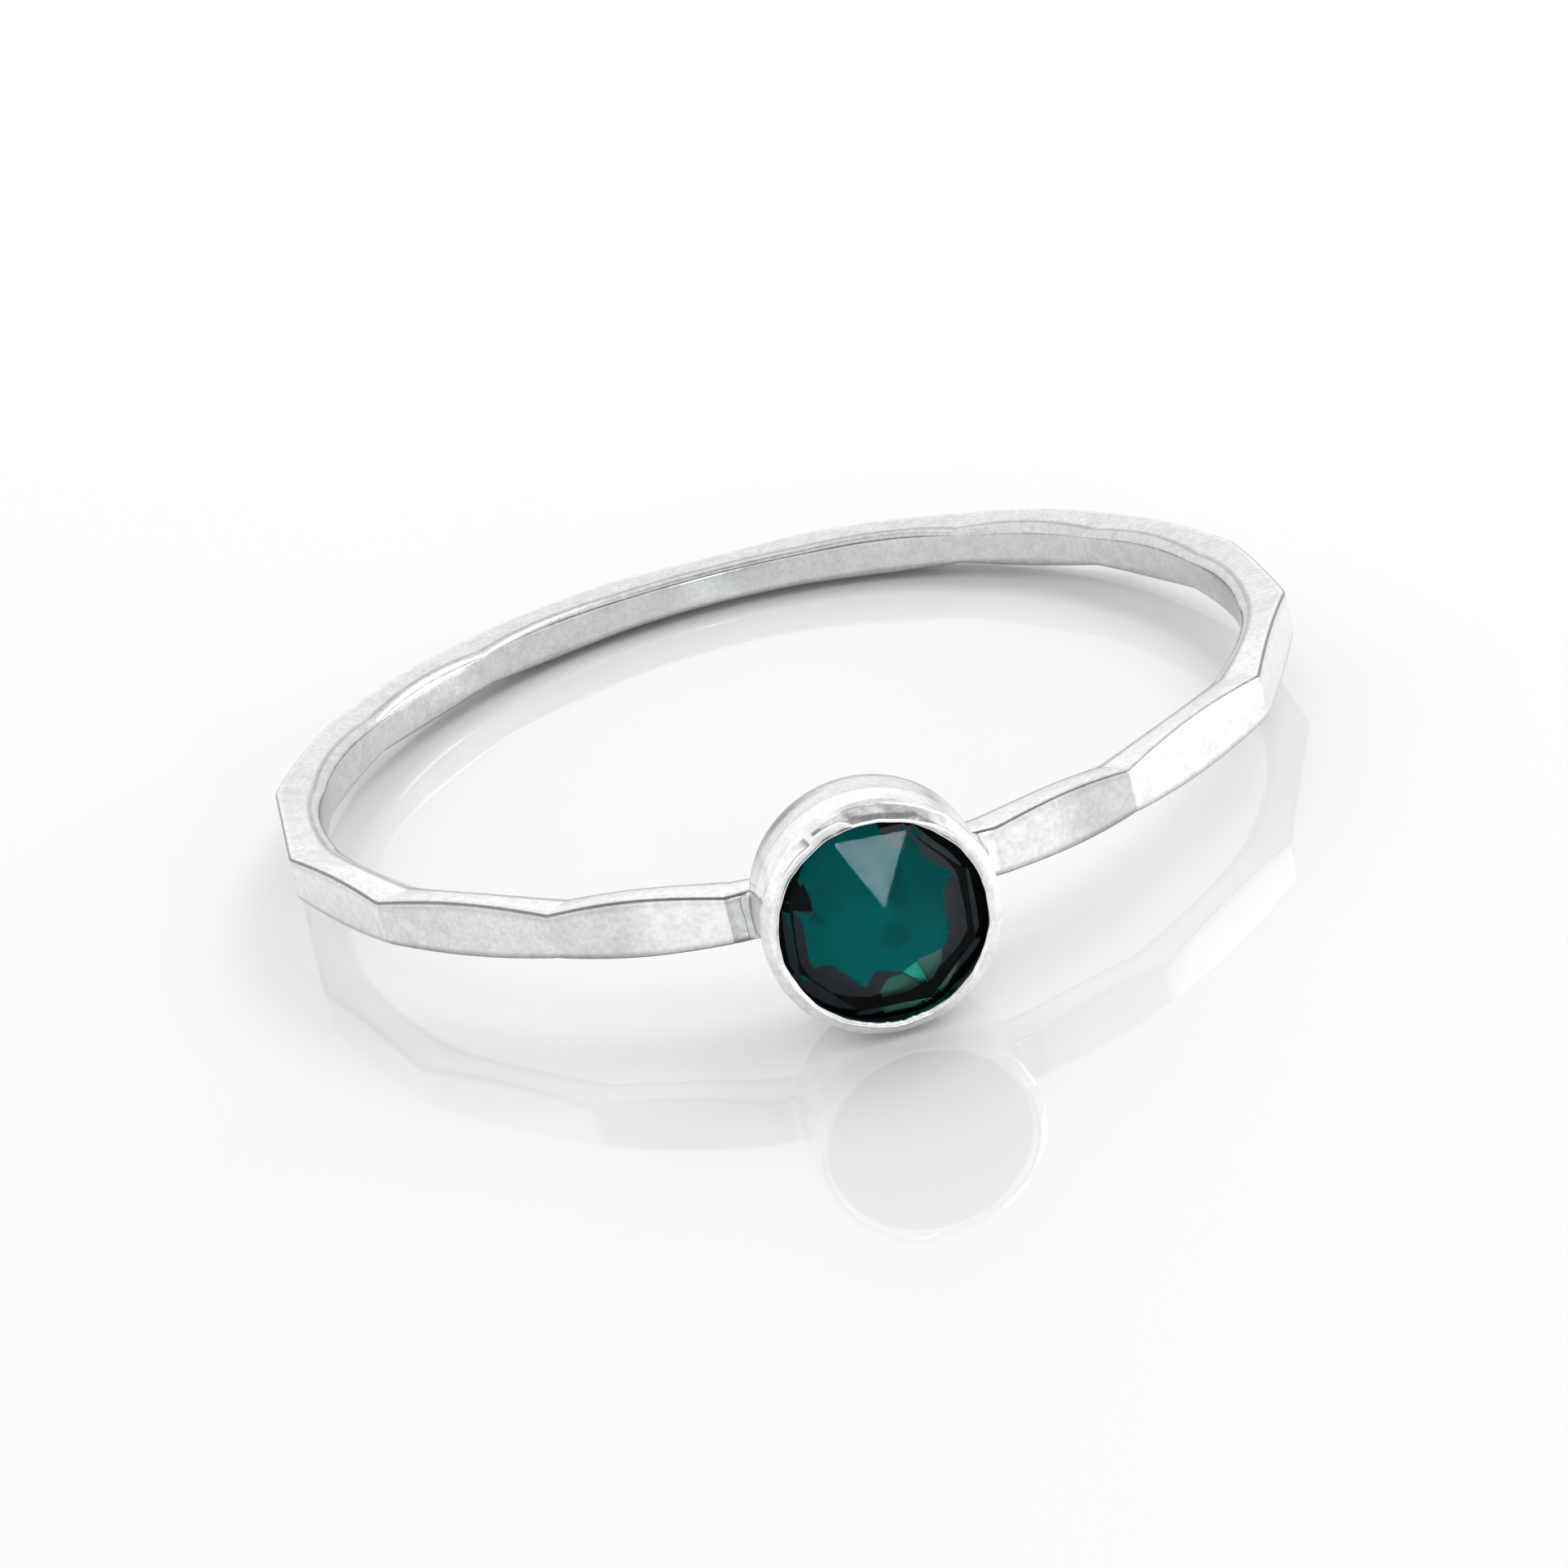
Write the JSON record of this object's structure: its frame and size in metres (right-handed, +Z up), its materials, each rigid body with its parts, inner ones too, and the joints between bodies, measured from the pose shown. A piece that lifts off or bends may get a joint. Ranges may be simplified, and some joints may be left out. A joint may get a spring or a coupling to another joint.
{
  "type": "stackable ring",
  "caption": "Slim stacking ring: a hammered silver band of flat facets with a faceted green stone in a plain round bezel.",
  "frame": {"origin": "middle of the underside of the ring's box as it lies on its side on a table: the floor is Z = 0", "axes": "+Z up from the table, the bezel faces -Y, and the bore's axis leans 4.7 degrees from +Z towards +Y because the ring lies on its bezel cup at the front and its band at the back"},
  "size_m": [0.019, 0.0208, 0.0042],
  "materials": {
    "silver": "polished sterling silver, hammered into flat facets outside and smooth in the bore",
    "stone": "faceted teal-green crystal with a foiled flat back"
  },
  "bodies": {
    "root": {"band_with_bezel": "silver", "stone": "stone"}
  },
  "joints": []
}
